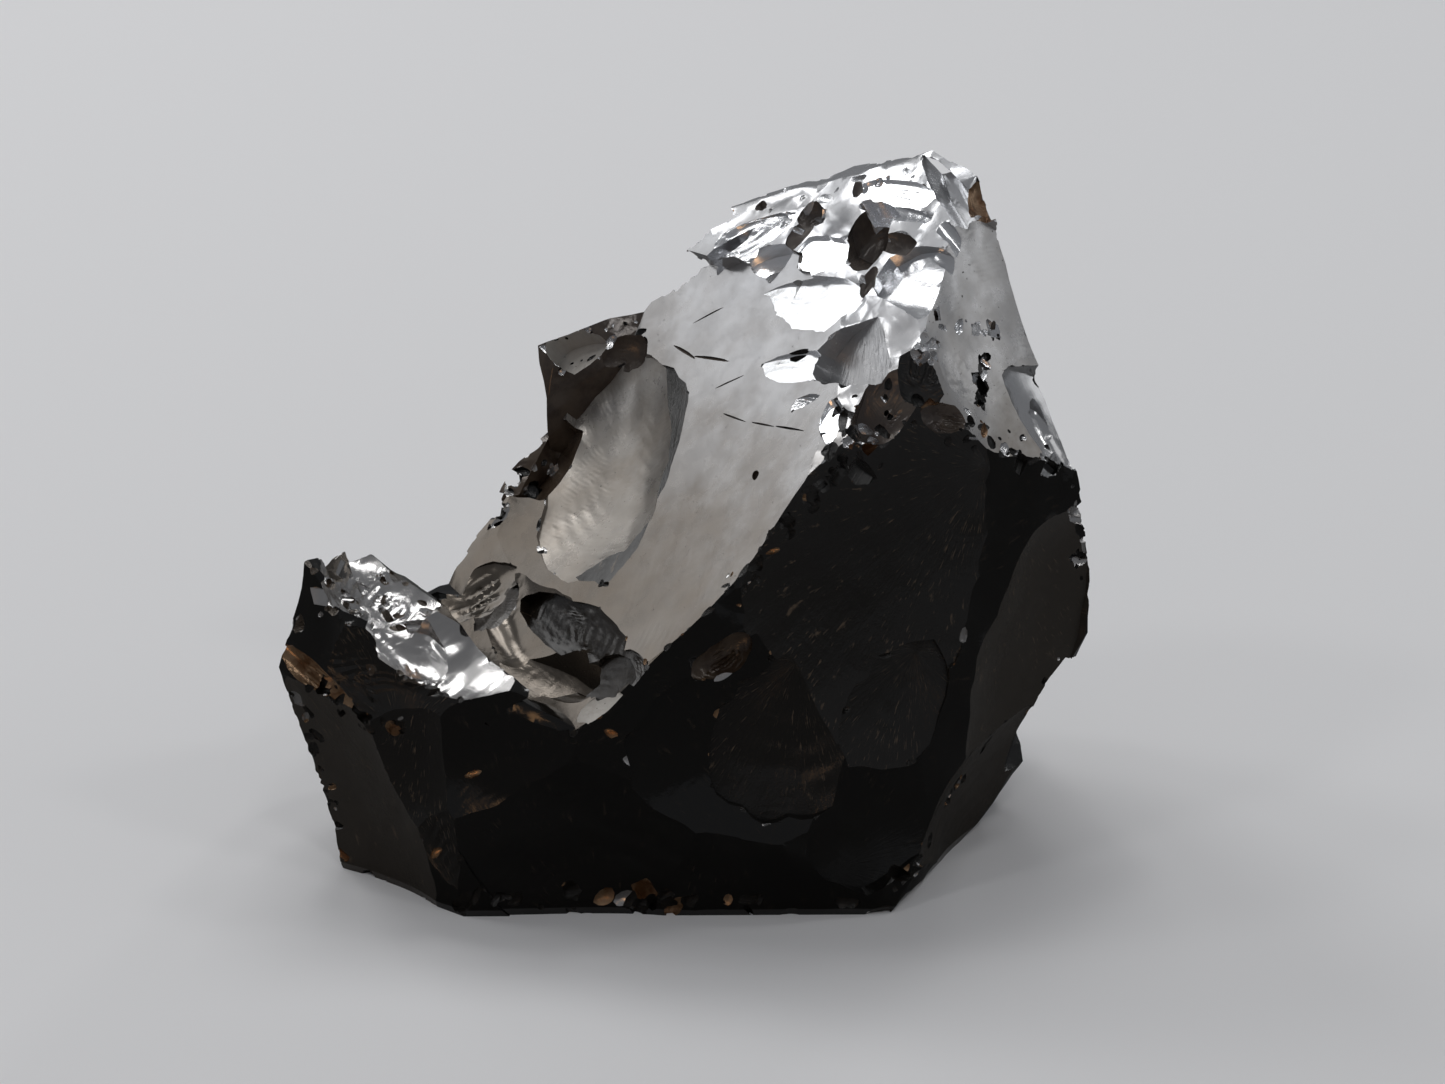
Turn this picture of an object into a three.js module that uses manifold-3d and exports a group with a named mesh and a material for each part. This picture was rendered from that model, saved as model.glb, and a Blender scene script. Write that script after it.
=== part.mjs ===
// A raw piece of noble shungite: one solid lump of glassy black carbon, broken on every side.
// The lump is a few overlapping chunks, each the convex hull of its corners. Every face on it is
// then a fracture, cut by a shallow dish: an oval bowl whose hollow side leaves the new surface.
// Millimetres, +Z up, front of the stone towards -Y, origin under its middle on the ground.
import * as THREE from "three";
import { ConvexGeometry } from "three/addons/geometries/ConvexGeometry.js";
import { mergeVertices } from "three/addons/utils/BufferGeometryUtils.js";
import Module from "manifold-3d";

const wasm = await Module();
wasm.setup();

// --- driving dimensions -------------------------------------------------------------------

const MERGE_MM = 1e-4;

// The corners of each chunk. The body carries the slope up to the peak, and the left block
// carries the horn, with the valley between them.
const CHUNKS = {
  body: {
    footFrontLeft: [-10.4, -9.2, 0],
    footFrontRight: [9.4, -9.0, 0],
    footRight: [14.2, 0.0, 0],
    footBackRight: [11.0, 9.5, 0],
    footBackLeft: [-9.0, 9.0, 0],
    keelLeft: [-12.0, 0.0, 5.0],
    waistRight: [19.3, 1.2, 13.0],
    waistRightLow: [19.2, 1.0, 9.8],
    ankleRight: [16.8, 2.0, 3.2],
    waistBackRight: [15.0, 11.0, 12.0],
    waistBack: [0.0, 13.5, 11.0],
    shoulder: [18.4, 1.2, 18.3],
    lipLow: [-4.2, -9.2, 10.3],
    ridgeLow: [0.6, -8.2, 15.0],
    ridgeMiddle: [5.8, -6.4, 20.3],
    ridgeHigh: [9.9, -4.0, 23.6],
    ridgeTop: [12.4, -0.5, 26.9],
    upperRight: [14.5, 4.5, 29.8],
    peakRight: [13.6, 6.4, 31.0],
    peak: [11.6, 8.5, 31.5],
    peakLeft: [8.0, 11.0, 30.0],
    crestRight: [4.9, 12.4, 28.2],
    crestMiddle: [0.8, 12.8, 26.9],
    crestLeft: [-2.3, 12.4, 22.0],
    crestLow: [-8.3, 9.6, 14.2],
    valleyBack: [-12.0, 6.6, 9.9],
  },
  leftBlock: {
    footFrontLeft: [-10.4, -9.2, 0],
    footLeft: [-16.6, -4.8, 0],
    footBackLeft: [-8.0, 9.2, 0],
    footInner: [0.0, 0.0, 0],
    waistLeft: [-18.9, -4.0, 10.4],
    waistLeftBack: [-16.5, 5.0, 8.5],
    lipLeft: [-12.6, -9.0, 10.4],
    lipLow: [-4.2, -9.2, 10.3],
    valleyBack: [-12.0, 6.6, 9.9],
    rear: [-6.0, 11.0, 6.0],
    inner: [-4.0, 0.0, 10.0],
  },
  horn: {
    tip: [-17.6, -4.0, 15.8],
    tipBack: [-16.0, -2.0, 15.5],
    back: [-14.9, 0.0, 14.3],
    end: [-13.6, 2.0, 12.3],
    crest: [-14.3, -7.6, 12.2],
    lip: [-10.7, -9.0, 11.6],
    lipFar: [-4.2, -9.2, 10.3],
    outer: [-18.9, -4.0, 10.4],
    outerBack: [-16.8, 3.0, 9.5],
    innerFront: [-9.0, -6.0, 10.0],
    innerBack: [-11.5, 3.0, 10.0],
    keelFront: [-12.5, -8.6, 6.0],
    keelOuter: [-17.6, -4.2, 5.0],
    keelBack: [-12.0, 3.0, 6.0],
  },
};

// Smaller chunks that stand on the slope after it broke: the knob behind the scoop, the crust below
// the knob and the lip that closes the valley at the front.
const PERCHED = {
  knob: {
    hookTip: [-7.4, 11.2, 20.6],
    hookInner: [-6.6, 10.4, 20.2],
    hookUnder: [-6.9, 10.0, 19.0],
    waist: [-6.7, 9.5, 17.4],
    foot: [-6.4, 9.4, 16.0],
    footLow: [-6.6, 10.6, 14.6],
    top: [-5.4, 11.4, 21.4],
    topMiddle: [-3.9, 11.8, 21.9],
    topRight: [-2.0, 12.2, 22.2],
    root: [-2.0, 11.4, 21.4],
    rootLow: [-2.6, 11.5, 19.2],
    footRight: [-4.5, 11.1, 17.2],
    footInner: [-5.5, 10.6, 15.6],
    rear: [-3.0, 13.2, 19.0],
    rearLow: [-5.0, 12.6, 17.0],
    rearLeft: [-6.1, 12.8, 20.2],
    rearTop: [-4.5, 13.1, 21.0],
  },
  crust: {
    endLow: [-10.6, 8.0, 12.0],
    end: [-10.5, 8.4, 13.3],
    crestLow: [-9.9, 8.8, 14.0],
    crest: [-9.1, 9.1, 14.7],
    crestHigh: [-7.5, 9.8, 15.2],
    step: [-6.8, 10.3, 15.9],
    tip: [-6.6, 10.6, 16.8],
    inner: [-6.0, 10.6, 15.0],
    root: [-8.2, 9.2, 12.0],
    rootLow: [-9.6, 8.0, 11.4],
    front: [-8.4, 8.0, 14.0],
  },
  valleyLip: {
    cornerLeft: [-9.4, -7.7, 11.0],
    cornerHigh: [-8.7, -7.9, 11.2],
    rim: [-7.0, -8.3, 10.45],
    rimLow: [-5.8, -8.7, 10.0],
    rimEnd: [-5.0, -9.0, 9.7],
    frontLeft: [-9.5, -8.2, 8.8],
    frontLow: [-8.5, -8.4, 8.3],
    frontMiddle: [-6.7, -8.8, 8.2],
    frontRight: [-5.0, -9.25, 9.1],
    innerLeft: [-8.8, -5.0, 9.8],
    innerMiddle: [-7.0, -5.3, 9.1],
    innerRight: [-5.9, -6.8, 9.5],
    rootLeft: [-8.7, -5.1, 7.5],
    rootRight: [-6.0, -6.5, 7.5],
  },
};

// Each fracture: the deepest point of its dish, the way the new surface faces as [azimuth, elevation]
// (azimuth 0 is the front, 90 the right, 180 the back, -90 the left), the half-axes of the dish as
// [along, across], the turn of its first axis from uphill towards the right, how much its rim rises
// above the deepest point, and how far the cut reaches out of the stone. The slope's own come before
// the perched chunks are there, and the rest after.
const SLOPE_FRACTURES = {
  // the big silver slope, the valley at its foot and the scoop
  silverSlope: { at: [-1.6, 1.7, 16.8], faces: [-61.5, 45], size: [15, 11], turn: 0, rise: 0.75, reach: 3 },
  edgeNotch: { at: [-6.4, 8.5, 14.9], faces: [-84, 42], size: [3.1, 2.2], turn: 61, rise: 0.3, reach: 4 },
  valleyFloor: { at: [-8.2, -1.7, 9.25], faces: [26, 84], size: [10.5, 3.0], turn: 0, rise: 3.8, reach: 5 },
  valleyBand: { at: [-5.0, -2.3, 11.4], faces: [-64, 40], size: [4.6, 1.5], turn: 80, rise: 0.25, reach: 2 },
  leftBands: { at: [-10.1, 4.0, 10.1], faces: [-55, 50], size: [2.4, 1.8], turn: 32, rise: 0.4, reach: 4 },
  valleyEnd: { at: [-2.2, -8.2, 12.3], faces: [-72, 47], size: [2.0, 0.6], turn: 87, rise: 0.15, reach: 2 },
  scoopStep: { at: [-2.8, 3.9, 16.4], faces: [-64, 44], size: [6.4, 3.9], turn: -53, rise: 0.35, reach: 2.2 },
  roundScoop: { at: [-3.0, 5.0, 15.9], faces: [-66, 44], size: [6.9, 4.3], turn: -61, rise: 1.0, reach: 2.2 },
};

const FRACTURES = {
  // the knob and the valley
  knobCap: { at: [-5.2, 11.2, 19.9], faces: [-53, 55], size: [1.4, 1.0], turn: 52, rise: 0.08, reach: 2 },
  knobLow: { at: [-5.0, 9.5, 18.7], faces: [-25, 5], size: [1.2, 1.0], turn: 0, rise: 0.25, reach: 2 },
  knobShade: { at: [-3.2, 11.3, 20.3], faces: [5, 15], size: [1.1, 1.0], turn: 30, rise: 0.3, reach: 2 },
  lipFacet: { at: [-3.8, -8.8, 10.6], faces: [-66, 48], size: [1.3, 0.9], turn: 37, rise: 0.1, reach: 3 },
  valleyFlake: { at: [-7.1, -3.1, 8.7], faces: [14, 74], size: [3.9, 1.5], turn: -42, rise: 0.3, reach: 2.5 },
  trough: { at: [-3.5, -6.4, 10.8], faces: [-77, 40], size: [2.8, 1.2], turn: 59, rise: 0.2, reach: 2.5 },

  // the horn
  hornScoop: { at: [-11.8, -7.0, 11.2], faces: [35, 66], size: [5, 6], turn: 0, rise: 3.6, reach: 6 },
  hornInner: { at: [-14.6, -2.6, 13.3], faces: [50, 52], size: [3.2, 3.0], turn: 0, rise: 0.8, reach: 4 },
  hornHollow: { at: [-12.4, -6.1, 11.3], faces: [20, 73], size: [2.8, 1.5], turn: -23, rise: 0.6, reach: 4 },
  hornBump: { at: [-14.5, -1.2, 14.0], faces: [-22, 74], size: [1.7, 1.2], turn: -81, rise: 0.3, reach: 3 },
  hornBack: { at: [-16.6, 0.6, 12.6], faces: [-120, 30], size: [4, 4], turn: 0, rise: 0.8, reach: 5 },
  hornFront: { at: [-14.2, -6.4, 11.8], faces: [-18, 2], size: [3.2, 5.4], turn: 8, rise: 0.9, reach: 5 },

  // the top of the slope
  whiteShelf: { at: [5.4, 4.6, 24.9], faces: [-61, 49], size: [3.9, 1.7], turn: 67, rise: 0.04, reach: 2 },
  ridgeNick: { at: [6.6, -3.0, 22.2], faces: [-56, 56], size: [1.2, 0.5], turn: -43, rise: 0.03, reach: 2 },
  streaked: { at: [8.7, -0.2, 24.6], faces: [-67, 30], size: [2.8, 2.0], turn: 42, rise: 0.12, reach: 2 },
  blueLedge: { at: [2.8, 10.0, 26.4], faces: [-32, 50], size: [2.4, 1.2], turn: 49, rise: 0.14, reach: 3 },
  ledgeFoot: { at: [3.9, 8.4, 25.6], faces: [-54, 56], size: [1.5, 0.7], turn: 38, rise: 0.04, reach: 2 },
  darkNotch: { at: [6.0, 9.6, 27.8], faces: [-10, 35], size: [0.8, 0.7], turn: -15, rise: 0.3, reach: 2 },
  topHollow: { at: [9.2, 7.5, 27.9], faces: [-20, 10], size: [1.5, 1.1], turn: 0, rise: 0.8, reach: 4 },
  peakFacet: { at: [10.2, 7.0, 29.7], faces: [-53, 56], size: [2.8, 0.8], turn: 81, rise: 0.04, reach: 2 },
  curvedShade: { at: [12.5, 3.8, 28.5], faces: [5, 42], size: [2.2, 0.4], turn: -32, rise: 0.1, reach: 2 },
  orangeTip: { at: [13.1, 5.6, 30.0], faces: [50, 25], size: [1.3, 0.9], turn: -64, rise: 0.3, reach: 3 },
  brightScoop: { at: [11.5, 1.5, 27.0], faces: [-58, 53], size: [3.4, 1.7], turn: 89, rise: 0.25, reach: 3 },
  peakSide: { at: [14.3, 4.6, 29.0], faces: [60, 40], size: [2.4, 2.0], turn: 0, rise: 0.4, reach: 3 },

  // the dark front
  frontUpper: { at: [8.0, -4.6, 15.6], faces: [24, 10], size: [7.8, 6.8], turn: 40, rise: 0.8, reach: 4 },
  frontKidney: { at: [4.2, -7.6, 8.4], faces: [2, 8], size: [5.6, 6.4], turn: 0, rise: 0.9, reach: 4 },
  frontLobe: { at: [8.8, -7.0, 7.0], faces: [18, 2], size: [5.6, 4.4], turn: 0, rise: 0.8, reach: 4 },
  frontLow: { at: [-3.4, -8.7, 3.4], faces: [-4, 0], size: [5.4, 7.8], turn: 30, rise: 0.7, reach: 3 },
  frontLeft: { at: [-7.4, -8.6, 7.4], faces: [-12, 6], size: [4.6, 5.4], turn: 20, rise: 0.8, reach: 3 },
  bronzeScar: { at: [1.6, -7.2, 12.4], faces: [5, 25], size: [1.5, 0.9], turn: 57, rise: 0.4, reach: 2 },
  bronzeLedge: { at: [-17.0, -4.9, 9.9], faces: [-20, 35], size: [2.3, 0.8], turn: -61, rise: 0.5, reach: 2 },
  scarredSide: { at: [-12.4, -7.4, 6.8], faces: [-25, 5], size: [4.5, 2.9], turn: 19, rise: 0.8, reach: 3 },
  scarredLow: { at: [-11.2, -8.5, 3.4], faces: [-28, 4], size: [4.2, 2.2], turn: -15, rise: 0.7, reach: 3 },
  leftFace: { at: [-15.0, -5.5, 3.8], faces: [-37, -5], size: [8.5, 4.4], turn: -26, rise: 0.8, reach: 3 },

  // the right side
  rightPanel: { at: [14.4, -2.6, 10.4], faces: [52, 0], size: [9.5, 6.0], turn: 10, rise: 1.2, reach: 5 },
  rightLow: { at: [13.2, -2.8, 3.4], faces: [58, -14], size: [4.6, 5.6], turn: 0, rise: 0.8, reach: 4 },
  rightNotch: { at: [16.4, 1.4, 6.0], faces: [80, -24], size: [3.4, 4.6], turn: 0, rise: 0.6, reach: 4 },
  spurDark: { at: [10.2, -2.5, 24.0], faces: [-25, 15], size: [1.8, 0.8], turn: 12, rise: 0.2, reach: 2 },
  spurColumns: { at: [11.4, -0.5, 24.4], faces: [8, 14], size: [1.5, 0.7], turn: 0, rise: 0.15, reach: 2 },
  silverBySpur: { at: [12.5, 0.3, 23.5], faces: [49, 30], size: [1.8, 1.3], turn: 55, rise: 0.12, reach: 2 },
  upperRight: { at: [14.2, 1.1, 21.7], faces: [47, 28], size: [2.8, 1.8], turn: 0, rise: 0.25, reach: 3 },
  rightSlope: { at: [13.9, 0.8, 22.8], faces: [50, 31], size: [7.6, 5.2], turn: 4, rise: 0.8, reach: 5 },
  shoulderBand: { at: [16.8, 1.4, 19.6], faces: [66, 40], size: [4.0, 2.4], turn: 0, rise: 0.5, reach: 3 },
  bronzeArcs: { at: [12.1, -1.8, 21.9], faces: [5, 30], size: [1.5, 0.7], turn: -78, rise: 0.4, reach: 2 },
  striatedNick: { at: [9.4, -3.2, 22.2], faces: [-25, 30], size: [1.3, 1.1], turn: 90, rise: 0.4, reach: 2 },

  // the sides away from the light
  backNotch: { at: [-9.0, 9.6, 12.6], faces: [200, 20], size: [7, 5], turn: 0, rise: 1.2, reach: 5 },
  leftBack: { at: [-15.8, 2.6, 4.6], faces: [-112, -10], size: [5.5, 6], turn: 0, rise: 0.9, reach: 4 },
  leftBackHigh: { at: [-14.6, 4.6, 8.6], faces: [-140, 30], size: [4, 3.6], turn: 0, rise: 0.7, reach: 4 },
  backLeft: { at: [-10.2, 7.4, 6], faces: [212, 4], size: [9, 9.5], turn: 0, rise: 1.4, reach: 7 },
  backMiddle: { at: [0.6, 12.0, 9], faces: [182, -4], size: [9, 7.5], turn: 0, rise: 1.2, reach: 6 },
  backUpper: { at: [2.5, 12.0, 20.5], faces: [176, 12], size: [7, 6.5], turn: 30, rise: 1.0, reach: 6 },
  backRight: { at: [11.4, 10.6, 16], faces: [152, 8], size: [9, 5.5], turn: -10, rise: 1.1, reach: 6 },
  backPeak: { at: [11.4, 9.8, 27.0], faces: [150, 20], size: [5, 4.5], turn: 0, rise: 0.8, reach: 5 },
  rightBack: { at: [16.0, 6.6, 8], faces: [112, -8], size: [7, 5], turn: 0, rise: 0.9, reach: 5 },
  rightUpperBack: { at: [15.6, 5.4, 23], faces: [104, 14], size: [7, 4], turn: 0, rise: 0.8, reach: 5 },
};

// Ridges that small chips are broken out of: the points each runs through, and its number of chips.
const CHIPPED_RIDGES = {
  front: { chips: 16, through: [[-4.2, -9.2, 10.3], [0.6, -8.2, 15], [6, -6.3, 20], [9.9, -4, 23.6]] },
  spur: { chips: 9, through: [[9.9, -4.0, 23.6], [12.4, -0.5, 26.9], [14.5, 4.5, 29.8]] },
  shoulder: { chips: 8, through: [[9.9, -4.0, 23.0], [18.4, 1.2, 18.3]] },
  crest: { chips: 10, through: [[11.6, 8.5, 31.5], [4.9, 12.2, 27.8], [-2.3, 12.4, 22.2]] },
  horn: { chips: 8, through: [[-17.6, -4.0, 15.8], [-14.6, -7.2, 12.4], [-10.7, -9.0, 11.2]] },
};
const CHIP_RADIUS = [0.35, 0.95];
const CHIP_SEED = 7;
// The middle of the lump, which the chips face away from.
const HEART = [3, 3, 12];

// The rim of a dish wanders by these shares of its radius, in two and in three waves round it.
const RIM_WANDER = [0.08, 0.05];

// How finely a dish is faceted: rings in a large and a small one, and the most spokes.
const LARGE_RINGS = 4;
const SMALL_RINGS = 2;
const SMALL_DISH = 5;
const SPOKES = 20;

// --- making the stone ---------------------------------------------------------------------

const radians = THREE.MathUtils.degToRad;

function solidOf(geometry) {
  geometry.deleteAttribute("normal");
  geometry.deleteAttribute("uv");
  const merged = mergeVertices(geometry, MERGE_MM);
  return new wasm.Manifold(
    new wasm.Mesh({
      numProp: 3,
      vertProperties: new Float32Array(merged.attributes.position.array),
      triVerts: new Uint32Array(merged.index.array),
    }),
  );
}

function geometryOf(solid) {
  const mesh = solid.getMesh();
  const positions = new Float32Array(mesh.vertProperties);
  const geometry = new THREE.BufferGeometry();
  geometry.setAttribute("position", new THREE.BufferAttribute(positions, 3));
  geometry.setIndex(new THREE.BufferAttribute(new Uint32Array(mesh.triVerts), 1));
  geometry.computeVertexNormals();
  return geometry;
}

// The frame of a dish: x across, y out of the stone, z along its long axis.
function dishFrame({ at, faces, turn }) {
  const [azimuth, elevation] = faces.map(radians);
  const out = new THREE.Vector3(
    Math.sin(azimuth) * Math.cos(elevation),
    -Math.cos(azimuth) * Math.cos(elevation),
    Math.sin(elevation),
  );
  const uphill = new THREE.Vector3(0, 0, 1).addScaledVector(out, -out.z).normalize();
  const along = uphill.applyAxisAngle(out, -radians(turn));
  const across = new THREE.Vector3().crossVectors(out, along);
  return new THREE.Matrix4().makeBasis(across, out, along).setPosition(...at);
}

function dish({ at, faces, turn, size, rise, reach }) {
  const [along, across] = size;
  const spokes = Math.round(Math.min(SPOKES, 9 + along + across));
  const rings = along + across > SMALL_DISH ? LARGE_RINGS : SMALL_RINGS;
  const profile = [];
  for (let i = 0; i <= rings; i++) {
    const share = i / rings;
    profile.push(new THREE.Vector2(share, rise * share * share));
  }
  profile.push(new THREE.Vector2(1, reach), new THREE.Vector2(0, reach));
  const geometry = new THREE.LatheGeometry(profile, spokes);
  const [double, triple] = RIM_WANDER;
  const points = geometry.attributes.position;
  for (let i = 0; i < points.count; i++) {
    const round = Math.atan2(points.getX(i), points.getZ(i));
    const wander = 1 + double * Math.sin(2 * round + at[0]) + triple * Math.sin(3 * round + at[2]);
    points.setX(i, points.getX(i) * across * wander);
    points.setZ(i, points.getZ(i) * along * wander);
  }
  geometry.applyMatrix4(dishFrame({ at, faces, turn }));
  return solidOf(geometry);
}

function hull(corners) {
  return solidOf(new ConvexGeometry(Object.values(corners).map((p) => new THREE.Vector3(...p))));
}

// A repeatable run of numbers from 0 to 1.
function numbersFrom(seed) {
  let state = seed;
  return () => {
    state = (state * 16807) % 2147483647;
    return state / 2147483647;
  };
}

function chipAt(spot, chance) {
  const away = spot.clone().sub(new THREE.Vector3(...HEART)).normalize();
  const radius = THREE.MathUtils.lerp(...CHIP_RADIUS, chance() ** 2);
  const azimuth = THREE.MathUtils.radToDeg(Math.atan2(away.x, -away.y)) + 80 * (chance() - 0.5);
  return {
    at: spot.clone().addScaledVector(away, -0.35 * radius).toArray(),
    faces: [azimuth, 10 + 60 * chance()],
    size: [radius * (1 + chance()), radius],
    turn: 180 * chance(),
    rise: 0.3 * radius,
    reach: 2,
  };
}

const hulls = (chunks) => Object.values(chunks).map(hull);

let lump = wasm.Manifold.union(hulls(CHUNKS));
for (const fracture of Object.values(SLOPE_FRACTURES)) lump = lump.subtract(dish(fracture));
lump = wasm.Manifold.union([lump, ...hulls(PERCHED)]);
for (const fracture of Object.values(FRACTURES)) lump = lump.subtract(dish(fracture));

const chance = numbersFrom(CHIP_SEED);
for (const { through, chips } of Object.values(CHIPPED_RIDGES)) {
  const ridge = new THREE.CatmullRomCurve3(through.map((p) => new THREE.Vector3(...p)), false, "chordal");
  for (let i = 0; i < chips; i++) {
    const spot = ridge.getPointAt((i + chance()) / chips);
    lump = lump.subtract(dish(chipAt(spot, chance)));
  }
}

// A cut can leave a splinter free, and only the stone itself is kept.
[lump] = lump.decompose().sort((a, b) => b.volume() - a.volume());

const stone = new THREE.Mesh(
  geometryOf(lump),
  new THREE.MeshStandardMaterial({ color: 0x15161a, roughness: 0.16, metalness: 0.6 }),
);
stone.name = "stone";

const part = new THREE.Group();
part.add(stone);

export default part;
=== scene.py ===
# A raw piece of noble shungite: one lump of glassy, nearly black carbon, broken on every side.
import math
import random

import bmesh
import bpy
from mathutils import Matrix, Vector, noise
from mathutils.bvhtree import BVHTree


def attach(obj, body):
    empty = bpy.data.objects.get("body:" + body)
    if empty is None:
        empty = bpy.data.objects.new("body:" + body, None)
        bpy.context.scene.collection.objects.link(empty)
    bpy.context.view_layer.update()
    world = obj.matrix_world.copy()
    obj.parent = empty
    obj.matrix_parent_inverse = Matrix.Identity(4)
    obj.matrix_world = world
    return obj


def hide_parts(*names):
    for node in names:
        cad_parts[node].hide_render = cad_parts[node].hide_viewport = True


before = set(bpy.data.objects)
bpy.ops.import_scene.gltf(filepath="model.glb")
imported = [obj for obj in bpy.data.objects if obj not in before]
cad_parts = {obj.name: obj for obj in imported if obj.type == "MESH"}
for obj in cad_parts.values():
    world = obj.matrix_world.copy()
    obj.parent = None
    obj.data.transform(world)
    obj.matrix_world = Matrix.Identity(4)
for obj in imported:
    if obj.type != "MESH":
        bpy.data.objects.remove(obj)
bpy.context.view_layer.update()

# The stone is shaped in millimetres and scaled once at the end.
MM = 0.001

# --- the lump -----------------------------------------------------------------------------

# The corners of each chunk of the lump. The body carries the slope up to the peak, and the
# left block carries the horn, with the valley between them.
CHUNKS = {
    "body": [
        (-10.4, -9.2, 0), (9.4, -9.0, 0), (14.2, 0.0, 0), (11.0, 9.5, 0), (-9.0, 9.0, 0),
        (-12.0, 0.0, 5.0), (19.3, 1.2, 13.0), (19.2, 1.0, 9.8), (16.8, 2.0, 3.2),
        (15.0, 11.0, 12.0), (0.0, 13.5, 11.0), (18.4, 1.2, 18.3), (-4.2, -9.2, 10.3),
        (0.6, -8.2, 15.0), (5.8, -6.4, 20.3), (9.9, -4.0, 23.6), (12.4, -0.5, 26.9),
        (14.5, 4.5, 29.8), (13.6, 6.4, 31.0), (11.6, 8.5, 31.5), (8.0, 11.0, 30.0),
        (4.9, 12.4, 28.2), (0.8, 12.8, 26.9), (-2.3, 12.4, 22.0), (-8.3, 9.6, 14.2),
        (-12.0, 6.6, 9.9),
    ],
    "left block": [
        (-10.4, -9.2, 0), (-16.6, -4.8, 0), (-8.0, 9.2, 0), (0, 0, 0), (-18.9, -4.0, 10.4),
        (-16.5, 5.0, 8.5), (-12.6, -9.0, 10.4), (-4.2, -9.2, 10.3), (-12.0, 6.6, 9.9),
        (-6.0, 11.0, 6.0), (-4.0, 0.0, 10.0),
    ],
    "horn": [
        (-17.6, -4.0, 15.8), (-16.0, -2.0, 15.5), (-14.9, 0.0, 14.3), (-13.6, 2.0, 12.3),
        (-14.3, -7.6, 12.2), (-10.7, -9.0, 11.6), (-4.2, -9.2, 10.3), (-18.9, -4.0, 10.4),
        (-16.8, 3.0, 9.5), (-9.0, -6.0, 10.0), (-11.5, 3.0, 10.0), (-12.5, -8.6, 6.0),
        (-17.6, -4.2, 5.0), (-12.0, 3.0, 6.0),
    ],
    "knob": [
        (-7.4, 11.2, 20.6), (-6.6, 10.4, 20.2), (-7.0, 10.1, 19.0), (-7.1, 9.7, 17.5),
        (-6.9, 9.7, 16.0),
        (-6.6, 10.6, 14.6), (-5.4, 11.4, 21.4), (-3.9, 11.8, 21.9), (-2.0, 12.2, 22.2), (-2.0, 11.4, 21.4),
        (-2.4, 11.4, 19.2), (-4.0, 11.0, 17.2), (-5.2, 10.5, 15.6),
        (-3.0, 13.2, 19.0), (-5.0, 12.6, 17.0), (-6.1, 12.8, 20.2), (-4.5, 13.1, 21.0),
    ],
    "crust": [
        (-10.6, 8.0, 12.0), (-10.5, 8.4, 13.3), (-9.9, 8.8, 14.0), (-9.1, 9.1, 14.7), (-8.4, 9.4, 15.1),
        (-7.5, 9.8, 15.2), (-6.8, 10.3, 15.9), (-6.6, 10.6, 16.8), (-6.0, 10.6, 15.0), (-8.2, 9.2, 12.0),
        (-9.6, 8.0, 11.4), (-8.4, 8.0, 14.0),
    ],
    "valley lip": [
        (-9.4, -7.7, 11.0), (-8.7, -7.9, 11.2), (-7.0, -8.3, 10.45), (-5.8, -8.7, 10.0), (-5.0, -9.0, 9.7),
        (-9.5, -8.2, 8.8), (-8.5, -8.4, 8.3), (-6.7, -8.8, 8.2), (-5.0, -9.25, 9.1), (-8.8, -5.0, 9.8),
        (-7.0, -5.3, 9.1), (-5.9, -6.8, 9.5), (-8.7, -5.1, 7.5), (-6.0, -6.5, 7.5),
    ],
}


def scar(at, faces, size, turn=0, rise=0.5, reach=4, struck=(200, 1.0), waves=5, height=0.01,
         finish="glass"):
    """One fracture: an oval bowl centred on at, hollow towards faces (degrees round from the front, degrees
    up), with its long axis turned from uphill. Ripples run round the point it was struck from, given as
    degrees round from the long axis and a share of the way to the rim."""
    return dict(at=at, faces=faces, size=size, turn=turn, rise=rise, reach=reach, struck=struck,
                waves=waves, height=height, finish=finish)


def facet(at, faces, size, turn, rise, finish):
    """A small smooth facet."""
    return scar(at, faces, size, turn=turn, rise=rise, reach=2, waves=0, height=0, finish=finish)


def crack(at, faces, half_length, turn):
    """A hair-thin crack with brown in it."""
    return facet(at, faces, (half_length, 0.05), turn, 0.06, "brown")


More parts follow.
